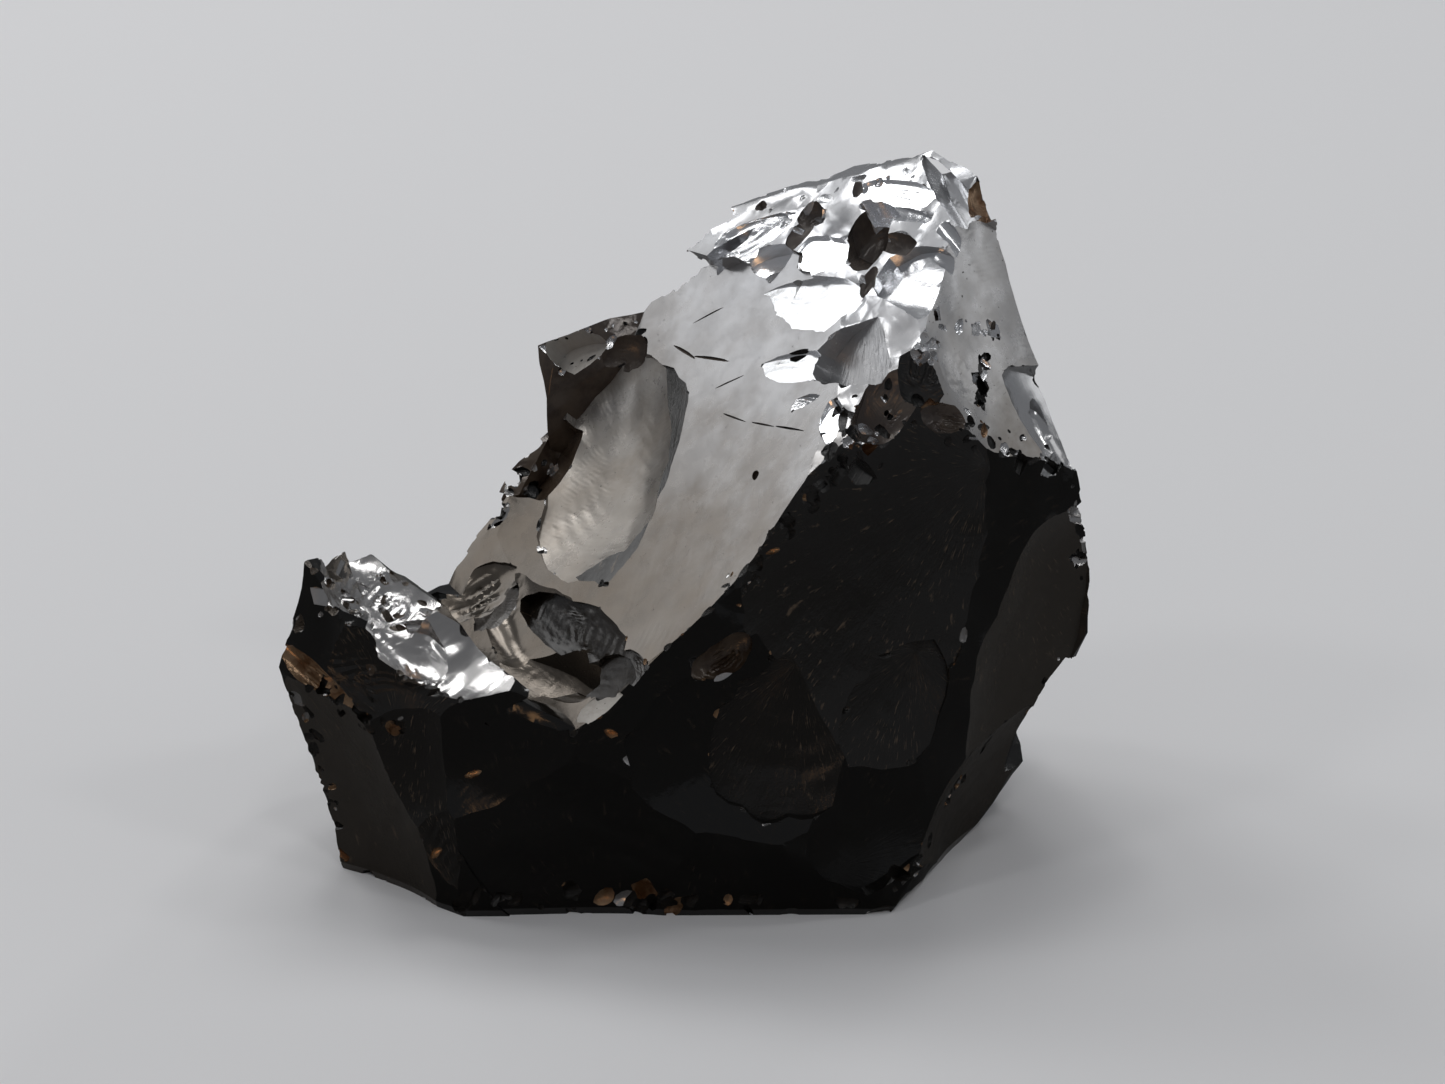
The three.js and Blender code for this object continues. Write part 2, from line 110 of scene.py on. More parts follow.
SCARS = {
    # the silver slope and the valley under it
    "silver slope": scar((-1.6, 1.7, 16.8), (-61.5, 45), (15, 11), rise=0.75, reach=3,
                         struck=(150, 1.0), waves=4, height=0.004, finish="slope"),
    "edge notch": scar((-6.4, 8.5, 14.9), (-84, 42), (3.1, 2.2), turn=61, rise=0.3, reach=4,
                       struck=(20, 1), waves=3, height=0.006, finish="brown"),
    "valley floor": scar((-8.2, -1.7, 9.25), (26, 84), (10.5, 3.0), rise=3.8, reach=5,
                         struck=(180, 0.9), waves=8, height=0.004, finish="slope"),
    "dark band": scar((-5.0, -2.3, 11.35), (-66, 31), (4.6, 1.5), turn=80, rise=0.12, reach=2,
                      struck=(0, 2.5), waves=6, height=0.025, finish="dark"),
    "left bands": scar((-10.1, 4.0, 10.1), (-55, 50), (2.4, 1.8), turn=32, rise=0.4, struck=(90, 2.0),
                       waves=3, height=0.05, finish="slope"),
    "dark end": scar((-2.2, -8.2, 12.25), (-72, 36), (2.0, 0.6), turn=87, rise=0.05, reach=2, waves=4,
                     height=0.02, finish="dark"),
    "scoop step": scar((-2.8, 3.9, 16.4), (-64, 44), (6.4, 3.9), turn=-53, rise=0.35, reach=2.2,
                       struck=(-49, 1.3), waves=9, height=0.012, finish="hackled"),
    "round scoop": scar((-3.0, 5.0, 15.9), (-66, 44), (6.9, 4.3), turn=-61, rise=1.0, reach=2.2,
                        struck=(-49, 1.3), waves=8, height=0.01, finish="pearly"),

    # the knob on the back contour
    "knob cap": scar((-5.2, 11.2, 19.9), (-53, 55), (1.4, 1.0), turn=52, rise=0.08, reach=2, waves=2,
                     height=0.01, finish="frosted"),
    "knob low": scar((-5.0, 9.5, 18.7), (-25, 5), (1.2, 1.0), turn=0, rise=0.25, reach=2,
                     finish="brown"),
    "knob gleam": scar((-4.8, 10.0, 19.7), (-49, 60), (0.5, 0.3), turn=87, rise=0.02, reach=1, waves=0,
                       height=0, finish="mirror"),
    "knob shade": scar((-3.2, 11.3, 20.3), (5, 15), (1.1, 1.0), turn=30, rise=0.3, reach=2,
                       finish="brown"),
    "lip facet": scar((-3.8, -8.8, 10.6), (-66, 48), (1.3, 0.9), turn=37, rise=0.1, reach=3, waves=0,
                      height=0, finish="frosted"),
    "flake corner": scar((-9.2, 2.4, 10.2), (-26, 57), (1.5, 0.9), turn=10, rise=0.15, reach=2.5,
                         struck=(90, 2), waves=2, height=0.01, finish="dim"),
    "dark trough": scar((-3.5, -6.4, 10.8), (-77, 36), (2.8, 1.2), turn=59, rise=0.08, reach=2.5,
                        struck=(90, 2), waves=3, height=0.01, finish="dark"),
    "bright flake": scar((-7.1, -3.1, 8.7), (14, 74), (3.9, 1.5), turn=-42, rise=0.3, reach=2.5,
                         struck=(180, 1.6), waves=5, height=0.012, finish="streaked"),

    # the horn
    "horn scoop": scar((-11.8, -7.0, 11.2), (35, 66), (5, 6), rise=3.6, reach=6, waves=8, height=0.03,
                       finish="silver"),
    "horn inner": scar((-14.6, -2.6, 13.3), (50, 52), (3.2, 3.0), rise=0.8, waves=6, height=0.04,
                       finish="silver"),
    "horn hollow": scar((-12.4, -6.1, 11.3), (20, 73), (2.8, 1.5), turn=-23, rise=0.6, waves=5,
                        height=0.02, finish="silver"),
    "horn bump": scar((-14.5, -1.2, 14.0), (-22, 74), (1.7, 1.2), turn=-81, rise=0.3, reach=3,
                      finish="silver"),
    "horn back": scar((-16.6, 0.6, 12.6), (-120, 30), (4, 4), rise=0.8, reach=5),
    "horn front": scar((-14.2, -6.4, 11.8), (-18, 2), (3.2, 5.4), turn=8, rise=0.9, reach=5, waves=9,
                       height=0.03, finish="hackled"),

    # the top of the slope
    "white shelf": scar((5.4, 4.6, 24.9), (-61, 49), (3.9, 1.7), turn=67, rise=0.04, reach=2,
                        struck=(95, 3), waves=5, height=0.012, finish="mirror"),
    "white facet": scar((5.1, 1.9, 23.0), (-61, 50), (2.7, 0.8), turn=67, rise=0.03, reach=2,
                        struck=(95, 3), waves=3, height=0.008, finish="mirror"),
    "dashed crack c": crack((5.0, -1.2, 21.2), (-61, 25), 1.2, 76),
    "dashed crack b": crack((3.6, 0.3, 20.8), (-64, 44), 0.9, 74),
    "dashed crack a": crack((2.3, 2.1, 20.4), (-62, 43), 0.9, 81),
    "long crack b": crack((1.4, 6.6, 21.9), (-52, -15), 1.2, 80),
    "long crack a": crack((0.1, 8.3, 21.6), (-49, -13), 1.0, 89),
    "pit": facet((3.4, -2.3, 19.2), (-68, 44), (0.3, 0.2), -76, 0.15, "brown"),
    "upper crack": crack((1.1, 8.9, 23.0), (-57, 39), 0.9, 45),
    "short crack": crack((2.1, 4.3, 21.3), (-59, 44), 0.8, 44),
    "ridge nick": facet((6.6, -3.0, 22.2), (-56, 56), (1.2, 0.5), -43, 0.03, "mirror"),
    "streaked facet": scar((8.7, -0.2, 24.6), (-67, 30), (2.8, 2.0), turn=42, rise=0.12, reach=2,
                           struck=(90, 2.4), waves=3, height=0.006, finish="streaked"),
    "smear": scar((5.3, -0.3, 22.1), (-35, 46), (1.2, 0.3), turn=66, rise=0.05, reach=2, waves=3,
                  height=0.01, finish="silver"),
    "round facet": scar((6.5, 6.3, 27.0), (-52, 57), (1.6, 1.2), turn=-82, rise=0.03, reach=2, waves=2,
                        height=0.008, finish="mirror"),
    "round shade": facet((5.5, 8.6, 27.3), (-25, 40), (1.2, 0.5), 26, 0.08, "brown"),
    "blue ledge": scar((2.8, 10.0, 26.4), (-32, 50), (2.4, 1.2), turn=49, rise=0.14, reach=3,
                       struck=(90, 1.2), waves=3, height=0.03, finish="silver"),
    "ledge gleam": facet((3.5, 10.3, 27.1), (-54, 55), (1.9, 0.4), 44, 0.04, "mirror"),
    "ledge shade": facet((1.7, 10.7, 25.0), (-25, 48), (1.9, 0.4), 43, 0.06, "silver"),
    "ledge foot": facet((3.9, 8.4, 25.6), (-54, 56), (1.5, 0.7), 38, 0.04, "mirror"),
    "dark notch": scar((6.0, 9.6, 27.8), (-10, 35), (0.8, 0.7), turn=-15, rise=0.3, reach=2,
                       finish="brown"),
    "top hollow": scar((9.2, 7.5, 27.9), (-20, 10), (1.5, 1.1), turn=-1, rise=0.8, reach=4, waves=4,
                       height=0.02, finish="brown"),
    "hollow right": scar((9.8, 5.0, 28.1), (-15, 32), (1.2, 0.6), turn=-82, rise=0.25, reach=2, waves=3,
                         height=0.02, finish="brown"),
    "hollow low": scar((8.6, 3.6, 26.8), (-25, 35), (1.0, 0.4), turn=-3, rise=0.2, reach=2, waves=2,
                       height=0.02, finish="brown"),
    "peak facet": scar((10.2, 7.0, 29.7), (-53, 56), (2.8, 0.8), turn=81, rise=0.04, reach=2,
                       struck=(95, 3), waves=3, height=0.008, finish="mirror"),
    "peak shade": facet((9.9, 6.3, 29.1), (-22, 45), (2.0, 0.4), -83, 0.06, "silver"),
    "small facet": facet((9.6, 7.4, 28.2), (-53, 56), (1.2, 0.4), 79, 0.02, "mirror"),
    "curved shade": facet((12.5, 3.8, 28.5), (5, 42), (2.2, 0.4), -32, 0.1, "silver"),
    "pale strip": scar((13.4, 4.6, 29.6), (-66, 25), (4.5, 0.6), turn=-72, rise=0.1, reach=2, waves=2,
                       height=0.006, finish="slope"),
    "orange tip": scar((13.1, 5.5, 30.1), (50, 25), (1.5, 1.1), turn=-39, rise=0.3, reach=3, waves=4,
                       height=0.02, finish="bronze"),
    "bright scoop": scar((11.5, 1.5, 27.0), (-58, 53), (3.4, 1.7), turn=89, rise=0.25, reach=3, waves=3,
                         height=0.006, finish="bright"),
    "scoop eye": facet((12.3, 3.0, 27.7), (-15, 42), (1.0, 0.4), -59, 0.1, "silver"),
    "peak side": scar((14.3, 4.6, 29.0), (60, 40), (2.4, 2.0), rise=0.4, reach=3, finish="silver"),

    # the dark front
    "front upper": scar((8.0, -4.6, 15.6), (24, 10), (7.8, 6.8), turn=40, rise=0.8, struck=(-20, 1.0),
                        waves=4, height=0.015, finish="hackled"),
    "front kidney": scar((4.2, -7.6, 8.4), (2, 8), (5.6, 6.4), rise=0.9, struck=(180, 1.0),
                         height=0.008),
    "front lobe": scar((8.8, -7.0, 7.0), (18, 2), (5.6, 4.4), rise=0.8, struck=(150, 1.0),
                       height=0.008),
    "front low": scar((-3.4, -8.7, 3.4), (-4, 0), (5.4, 7.8), turn=30, rise=0.7, reach=3, height=0.008),
    "front left": scar((-7.4, -8.6, 7.4), (-12, 6), (4.6, 5.4), turn=20, rise=0.8, reach=3,
                       height=0.008),
    "brown scar": scar((1.6, -7.2, 12.4), (5, 25), (1.5, 0.9), turn=57, rise=0.4, reach=2,
                       struck=(90, 1.5), waves=5, height=0.04, finish="brown"),
    "bronze ledge": scar((-17.0, -4.9, 9.9), (-20, 35), (2.3, 0.8), turn=-61, rise=0.5, reach=2,
                         struck=(90, 2.0), waves=4, height=0.03, finish="bronze"),
    "ledge glint": facet((-14.9, -6.6, 9.2), (-8, 17), (0.5, 0.2), -84, 0.05, "glint"),
    "scarred side": scar((-12.4, -7.4, 6.8), (-25, 5), (4.5, 2.9), turn=19, rise=0.8, reach=3,
                         struck=(20, 1.2), waves=7, height=0.008, finish="hackled"),
    "scarred low": scar((-11.2, -8.5, 3.4), (-28, 4), (4.2, 2.2), turn=-15, rise=0.7, reach=3, waves=7,
                        height=0.03, finish="hackled"),
    "glint high": facet((-9.8, -8.0, 6.9), (-8, 17), (0.4, 0.16), 65, 0.04, "glint"),
    "glint low": facet((-11.6, -8.0, 2.8), (-8, 18), (0.35, 0.2), 47, 0.05, "glint"),
    "glint under the lip": facet((-3.4, -9.0, 9.5), (-10, 17), (0.3, 0.2), -75, 0.03, "glint"),
    "glint by the ridge": facet((4.0, -6.3, 17.4), (-11, 15), (0.3, 0.12), 65, 0.03, "glint"),
    "front shell": scar((4.6, -7.3, 8.4), (1, 8), (4.3, 3.3), turn=7, rise=0.3, reach=2,
                        struck=(0, 0.9), waves=3, height=0.02, finish="hackled"),
    "right shell": scar((9.5, -5.7, 8.9), (19, 20), (3.5, 2.3), turn=28, rise=0.3, reach=2,
                        struck=(0, 0.9), waves=3, height=0.02, finish="hackled"),
    "left face": scar((-15.0, -5.5, 3.8), (-37, -5), (8.5, 4.4), turn=-26, rise=0.8, reach=3,
                      struck=(0, 1.0), waves=3, height=0.012, finish="smoky"),

    # the right side
    "right panel": scar((14.4, -2.6, 10.4), (52, 0), (9.5, 6.0), turn=10, rise=1.2, reach=5,
                        struck=(20, 1.0), waves=5, height=0.015, finish="smoky"),
    "right low": scar((13.2, -2.8, 3.4), (58, -14), (4.6, 5.6), rise=0.8, finish="smoky"),
    "right notch": scar((16.4, 1.4, 6.0), (80, -24), (3.4, 4.6), rise=0.6),
    "spur dark": scar((9.6, -2.5, 23.1), (-18, 22), (2.1, 1.4), turn=27, rise=0.25, reach=2.5,
                      struck=(90, 2), waves=5, height=0.03, finish="brown"),
    "spur columns": scar((11.0, -1.5, 24.4), (0, 14), (1.9, 1.3), turn=9, rise=0.2, reach=2.5,
                         struck=(90, 2), waves=6, height=0.03, finish="hackled"),
    "right slope": scar((13.9, 0.8, 22.8), (50, 31), (7.6, 5.2), turn=4, rise=0.8, reach=5, waves=4,
                        height=0.012, finish="pearly"),
    "pale block": scar((12.7, 0.1, 23.6), (50, 27), (1.7, 1.5), turn=-12, rise=0.12, reach=2,
                       struck=(0, 1.4), waves=3, height=0.012, finish="pearly"),
    "shoulder shade": facet((16.7, 1.6, 19.4), (40, 60), (2.1, 0.6), 14, 0.25, "silver"),
    "shoulder gleam": facet((17.4, 1.9, 19.0), (45, 30), (1.4, 0.6), -15, 0.2, "silver"),
    "shoulder band": scar((16.8, 1.4, 19.6), (66, 40), (4.0, 2.4), rise=0.5, reach=3, finish="silver"),
    "brown arcs": scar((12.1, -1.8, 21.9), (5, 30), (1.5, 0.7), turn=-78, rise=0.4, reach=2,
                       struck=(90, 1.5), waves=5, height=0.04, finish="brown"),
    "striated nick": scar((9.4, -3.2, 22.2), (-25, 30), (1.3, 1.1), turn=89, rise=0.4, reach=2,
                          struck=(0, 2.5), waves=6, height=0.03, finish="hackled"),

    # the sides away from the light
    "back notch": scar((-9.6, 9.4, 11.6), (200, 20), (5, 5), rise=1.2, reach=5, height=0.02),
    "left back": scar((-15.8, 2.6, 4.6), (-112, -10), (5.5, 6), rise=0.9, height=0.02),
    "left back high": scar((-14.6, 4.6, 8.6), (-140, 30), (4, 3.6), rise=0.7, height=0.02),
    "back left": scar((-10.2, 7.4, 6), (212, 4), (9, 9.5), rise=1.4, reach=7, waves=5, height=0.02),
    "back middle": scar((0.6, 12.0, 9), (182, -4), (9, 7.5), rise=1.2, reach=6, waves=5, height=0.02),
    "back upper": scar((2.5, 12.0, 20.5), (176, 12), (7, 6.5), turn=30, reach=6, rise=1.0, waves=5,
                       height=0.02),
    "back right": scar((11.4, 10.6, 16), (152, 8), (9, 5.5), turn=-10, rise=1.1, reach=6, waves=5,
                       height=0.02),
    "back peak": scar((11.4, 9.8, 27.0), (150, 20), (5, 4.5), rise=0.8, reach=5, height=0.02),
    "right back": scar((16.0, 6.6, 8), (112, -8), (7, 5), rise=0.9, reach=5, height=0.02),
    "right upper back": scar((15.6, 5.4, 23), (104, 14), (7, 4), rise=0.8, reach=5, height=0.02),
}

# Where the stone has crumbled: the two ends of the place, how far it spreads round the line between
# them, the number of small facets, their least and greatest radius, and how far they lean.
CRUMBLED = [
    ((-17.2, -4.2, 14.6), (-13.4, -2.4, 13.6), 2.2, 80, (0.12, 0.5), 0.5),
    ((-14.6, -7.4, 12.4), (-11.0, -8.8, 11.6), 0.8, 30, (0.08, 0.3), 0.5),
    ((-17.4, -4.8, 10.0), (-13.0, -7.6, 8.8), 0.7, 26, (0.1, 0.35), 0.5),
    ((7.4, -4.6, 21.4), (9.4, -3.0, 23.0), 1.5, 50, (0.1, 0.42), 0.7),
    ((1.6, -7.8, 15.6), (7.0, -5.4, 20.8), 0.6, 34, (0.07, 0.4), 0.4),
    ((11.0, -2.4, 25.4), (12.0, -1.0, 26.2), 1.0, 26, (0.1, 0.36), 0.6),
    ((12.0, -2.2, 22.0), (17.8, 0.6, 18.6), 0.6, 34, (0.08, 0.34), 0.6),
    ((13.8, 1.6, 23.9), (13.8, -0.4, 21.8), 0.3, 20, (0.1, 0.3), 0.6),
    ((12.7, 1.7, 25.6), (15.0, 3.0, 24.3), 0.35, 14, (0.08, 0.28), 0.5),
    ((2.0, 12.4, 26.6), (11.0, 9.0, 31.0), 1.4, 40, (0.1, 0.4), 0.5),
    ((-2.0, 12.2, 22.4), (1.4, 12.6, 26.6), 0.7, 20, (0.1, 0.32), 0.5),
    ((-6.6, 10.6, 20.4), (-2.6, 11.8, 22.0), 0.5, 16, (0.08, 0.2), 0.4),
    ((-10.6, 7.6, 12.4), (-7.4, 9.6, 15.6), 0.9, 34, (0.12, 0.42), 0.6),
    ((18.4, 1.2, 18.3), (19.2, 1.2, 11.0), 0.7, 26, (0.1, 0.34), 0.5),
    ((9.6, -9.0, 0.6), (18.6, 1.4, 8.6), 0.7, 30, (0.1, 0.36), 0.5),
    ((-10.0, -8.9, 0.5), (9.0, -8.7, 0.5), 0.5, 30, (0.15, 0.5), 0.5),
    ((-16.8, -4.8, 0.6), (-18.6, -4.2, 9.6), 0.6, 26, (0.1, 0.32), 0.5),
]
# Chips along each millimetre of a sharp edge, and their least and greatest radius.
EDGE_CHIPS_PER_MM = 0.5
EDGE_CHIP = (0.07, 0.34)
# An edge is chipped where it bends more than this, in degrees, unless a scar this narrow made it.
CHIPPED_BEND = 32
NARROW_MM = 0.3
# The cuts are made in this many goes at most, with no two in one go that overlap.
MOST_BATCHES = 14
# Edges stay smooth up to this bend, in degrees, inside one fracture, and where two fractures meet.
SMOOTH_INSIDE = 28
SMOOTH_BETWEEN = 3
HEART = Vector((3, 3, 12))
# The mesh is put in order along this direction, so that it comes out the same each time.
SWEEP = Vector((0.713, 0.529, 0.461))
# The rim of a bowl wanders by these shares of its radius, in two and in three waves round it.
RIM_WANDER = (0.08, 0.05)
# What the faces are numbered by: the skin that no scar has cut, its silver and brown parts, and the
# chips.
BARE = 0
SILVER_SKIN = 900
BROWN_SKIN = 901
CHIP_MARK = 1000
# The flat sides of the chunks are split down to facets this long, then stand out unevenly: so many
# swells to the millimetre, and so deep.
FACET_MM = 1.0
UNEVEN = ((0.25, 0.22), (0.7, 0.12), (1.9, 0.05))


def new_object(name, bm):
    """An object with the mesh that was built in bm, its faces turned outwards."""
    bmesh.ops.recalc_face_normals(bm, faces=bm.faces)
    mesh = bpy.data.meshes.new(name)
    bm.to_mesh(mesh)
    bm.free()
    shape = bpy.data.objects.new(name, mesh)
    bpy.context.scene.collection.objects.link(shape)
    return shape


def mark(bm, number, origin, along, across):
    """Gives each face the number of its scar, and a map in millimetres from where the scar was struck."""
    scar_number = bm.faces.layers.int.new("scar")
    strike = bm.loops.layers.uv.new("strike")
    for face in bm.faces:
        face[scar_number] = number
        for corner in face.loops:
            offset = corner.vert.co - origin
            corner[strike].uv = (offset.dot(along), offset.dot(across))


def unevenness(place):
    """How far the unbroken skin stands out from flat there."""
    return sum(deep * noise.noise(place * often + Vector((deep, often, 3))) for often, deep in UNEVEN)


def chunk(name, corners):
    """One convex chunk, with the skin that no scar has cut."""
    bm = bmesh.new()
    for corner in corners:
        bm.verts.new(corner)
    made = bmesh.ops.convex_hull(bm, input=bm.verts)
    inside = {g for g in made["geom_interior"] + made["geom_unused"] if isinstance(g, bmesh.types.BMVert)}
    bmesh.ops.delete(bm, geom=list(inside), context="VERTS")
    bm.normal_update()
    mark(bm, BARE, HEART, Vector((1, 0, 0)), Vector((0, 0, 1)))
    slope_out = axes_of(SCARS["silver slope"]["faces"], 0)[2]
    scar_number = bm.faces.layers.int["scar"]
    for face in bm.faces:
        if name in ("knob", "crust"):
            face[scar_number] = BROWN_SKIN
        # painted sheen: the skin turned the same way as the silver slope, towards the lamps, gets the
        # slope's silver film
        elif name in ("body", "valley lip") and face.normal.dot(slope_out) > 0.8:
            face[scar_number] = SILVER_SKIN
    for _ in range(6):
        long = [edge for edge in bm.edges if edge.calc_length() > FACET_MM]
        bmesh.ops.subdivide_edges(bm, edges=long, cuts=1)
        bmesh.ops.triangulate(bm, faces=bm.faces)
    bm.normal_update()
    for vert in bm.verts:
        if vert.co.z > 0.2:
            vert.co += vert.normal * unevenness(vert.co)
    return new_object(name, bm)


def towards(azimuth, elevation):
    """The direction that many degrees round from the front, and that many up."""
    azimuth, elevation = math.radians(azimuth), math.radians(elevation)
    level = math.cos(elevation)
    return Vector((math.sin(azimuth) * level, -math.cos(azimuth) * level, math.sin(elevation)))


def axes_of(faces, turn):
    """The long axis, the short axis and the outward direction of a bowl."""
    out = towards(*faces)
    uphill = (Vector((0, 0, 1)) - out * out.z).normalized()
    along = Matrix.Rotation(-math.radians(turn), 3, out) @ uphill
    return along, out.cross(along), out


def lump_noise(*place):
    """Smooth noise between about -1 and 1."""
    return noise.noise(Vector(place))


def bowl(bm, number, at, faces, size, turn, rise, reach, struck, waves, height, finish=None, fine=True):
    """Adds a bowl with its lid to bm, marked with its number."""
    made = bmesh.new()
    broad = max(size)
    rings = round(min(50, max(8, broad / 0.36, waves * 4.5))) if fine else 3
    spokes = round(min(80, max(26, broad * 8))) if fine else 10
    profile = [made.verts.new((i / rings, 0, 0)) for i in range(rings + 1)]
    profile.append(made.verts.new((1, 0, 1)))
    profile.append(made.verts.new((0, 0, 1)))
    edges = [made.edges.new(pair) for pair in zip(profile, profile[1:])]
    bmesh.ops.spin(made, geom=profile + edges, cent=(0, 0, 0), axis=(0, 0, 1), dvec=(0, 0, 0),
                   angle=math.tau, steps=spokes, use_merge=True)
    bmesh.ops.remove_doubles(made, verts=made.verts, dist=1e-6)
    struck_at = Vector((math.cos(math.radians(struck[0])), math.sin(math.radians(struck[0])))) * struck[1]
    double, triple = RIM_WANDER
    mean = math.sqrt(size[0] * size[1])
    for vert in made.verts:
        x, y, lid = vert.co
        share = math.hypot(x, y)
        bearing = math.atan2(y, x)
        wander = 1 + double * math.sin(2 * bearing + at[0]) + triple * math.sin(3 * bearing + at[2])
        if fine:
            round_x, round_y = math.cos(bearing), math.sin(bearing)
            wander += 0.11 * lump_noise(round_x * 2.2, round_y * 2.2, number * 1.7) * share
            wander += 0.07 * lump_noise(round_x * 7, round_y * 7, number * 1.7) * share ** 3
        if lid > 0.5:
            depth = reach
        elif fine:
            run = math.hypot(x - struck_at.x, y - struck_at.y)
            phase = math.tau * waves * run + 2.2 * lump_noise(x * 1.6, y * 1.6, number * 7.3)
            patch = max(0.0, min(1.2, 0.55 + 1.7 * lump_noise(x * 1.9 + 5, y * 1.9, number * 5.1)))
            ripple = height * patch * min(1, run / 0.3) * (math.sin(phase) + 0.3 * math.sin(2.7 * phase))
            broad_swell = lump_noise(x * 1.7, y * 1.7, number * 3.1)
            swell = 0.016 * mean * (broad_swell + 0.4 * lump_noise(x * 4, y * 4, number * 2.3))
            depth = rise * share * share + ripple * (1 - share ** 8) + swell
        else:
            depth = rise * share * share
        vert.co = (x * size[0] * wander, y * size[1] * wander, depth)
    along, across, out = axes_of(faces, turn)
    place = Matrix((along, across, out)).transposed().to_4x4()
    place.translation = at
    bmesh.ops.recalc_face_normals(made, faces=made.faces)
    bmesh.ops.transform(made, matrix=place, verts=made.verts)
    origin = place @ Vector((struck_at.x * size[0], struck_at.y * size[1], 0))
    mark(made, number, origin, along, across)
    mesh = bpy.data.meshes.new("bowl")
    made.to_mesh(mesh)
    made.free()
    bm.from_mesh(mesh)
    bpy.data.meshes.remove(mesh)


def bearing_of(out):
    """The degrees round from the front and up of an outward direction."""
    return math.degrees(math.atan2(out.x, -out.y)), math.degrees(math.asin(max(-1, min(1, out.z))))


def tilted(direction, chance, spread):
    """The direction leant over by up to spread, any way round."""
    lean = Vector([chance.gauss(0, 1) for _ in range(3)]) * spread
    return (direction + lean).normalized()


def chip_from(spot, out, radius, chance, lie=None):
    """A chip of that radius, drawn out along the direction it lies in."""
    turn = 180 * chance.random()
    if lie is not None:
        uphill, across, _ = axes_of(bearing_of(out), 0)
        turn = -math.degrees(math.atan2(lie.dot(across), lie.dot(uphill))) + chance.gauss(0, 25)
    size = (radius * (1 + 1.4 * chance.random()), radius)
    return scar(tuple(spot - out * 0.3 * radius), bearing_of(out), size, turn=turn,
                rise=0.25 * radius, reach=0.4 + 1.4 * radius, waves=0, height=0)


def chance_at(place):
    """Chance that depends on the place alone, so that the order of the mesh doesn't matter."""
    return random.Random("{:.2f} {:.2f} {:.2f}".format(*place))


def edge_chips(bm):
    """Chips nibbled out of every sharp edge of the lump."""
    made = []
    number = bm.faces.layers.int["scar"]
    narrow = {i for i, cut in enumerate(SCARS.values(), 1) if min(cut["size"]) < NARROW_MM}
    for edge in bm.edges:
        if not edge.is_manifold or not edge.is_convex:
            continue
        bend = edge.calc_face_angle(0)
        sides = {face[number] for face in edge.link_faces}
        if bend < math.radians(CHIPPED_BEND) or len(sides) < 2 or sides & narrow:
            continue
        one, two = sorted((vert.co.copy() for vert in edge.verts), key=tuple)
        chance = chance_at((one + two) / 2)
        if chance.random() < (two - one).length * EDGE_CHIPS_PER_MM * min(1, bend):
            spot = one.lerp(two, chance.random())
            normal = (edge.link_faces[0].normal + edge.link_faces[1].normal).normalized()
            radius = EDGE_CHIP[0] + (EDGE_CHIP[1] - EDGE_CHIP[0]) * chance.random() ** 3
            lie = (two - one).normalized()
            made.append(chip_from(spot, tilted(normal, chance, 0.3), radius, chance, lie))
    return sorted(made, key=lambda cut: cut["at"])


def crumbs(bm):
    """Small facets over the places where the stone has crumbled."""
    made = []
    skin = BVHTree.FromBMesh(bm)
    for start, end, spread, count, (least, most), tilt in CRUMBLED:
        chance = chance_at(start)
        for _ in range(count):
            stray = Vector([chance.uniform(-spread, spread) for _ in range(3)])
            spot = skin.find_nearest(Vector(start).lerp(Vector(end), chance.random()) + stray)[0]
            normals = sorted(tuple(hit[1]) for hit in skin.find_nearest_range(spot, 0.05))
            normal = sum(map(Vector, normals), Vector()).normalized()
            radius = least + (most - least) * chance.random() ** 2
            made.append(chip_from(spot, tilted(normal, chance, tilt), radius, chance))
    return made


def batches(cuts):
    """Shares the cuts out so that no two in one batch overlap."""
    made = []
    for number, cut in cuts:
        along, across, out = axes_of(cut["faces"], cut["turn"])
        centre = Vector(cut["at"]) + out * cut["reach"] * 0.5
        reach = math.hypot(max(cut["size"]) * 1.25, cut["reach"] * 0.55)
        for batch in made:
            if all((centre - c).length > reach + r for _, _, c, r in batch):
                batch.append((number, cut, centre, reach))
                break
        else:
            if len(made) < MOST_BATCHES:
                made.append([(number, cut, centre, reach)])
    return [[(number, cut) for number, cut, _, _ in batch] for batch in made]


def cutters(cuts, first_number, fine):
    """The cuts as cutting tools, numbered from first_number on."""
    made = []
    for batch in batches(list(enumerate(cuts, first_number))):
        bm = bmesh.new()
        for number, cut in batch:
            bowl(bm, number, **cut, fine=fine)
        made.append((new_object("cutter", bm), "DIFFERENCE"))
    return made


def carve(blank, tools):
    """The blank's mesh after each tool has joined or cut it, without the tools."""
    for tool, operation in tools:
        cut = blank.modifiers.new(tool.name, "BOOLEAN")
        cut.operation = operation
        cut.solver = "MANIFOLD"
        cut.object = tool
    graph = bpy.context.evaluated_depsgraph_get()
    mesh = bpy.data.meshes.new_from_object(blank.evaluated_get(graph))
    for tool in [blank] + [tool for tool, _ in tools]:
        bpy.data.objects.remove(tool)
    return mesh


def triangulated(mesh):
    """The mesh in triangles, in an order that is the same each time."""
    bm = bmesh.new()
    bm.from_mesh(mesh)
    bmesh.ops.triangulate(bm, faces=bm.faces)
    bm.normal_update()
    bm.verts.sort(key=lambda vert: vert.co.dot(SWEEP))
    bm.faces.sort(key=lambda face: face.calc_center_median().dot(SWEEP))
    return bm


def chipped(mesh, find_chips, first_number):
    """The mesh without the chips that find_chips places on it, and the number that comes after theirs."""
    bm = triangulated(mesh)
    chips = find_chips(bm)
    bm.to_mesh(mesh)
    bm.free()
    blank = bpy.data.objects.new("blank", mesh)
    bpy.context.scene.collection.objects.link(blank)
    return carve(blank, cutters(chips, first_number, False)), first_number + len(chips)


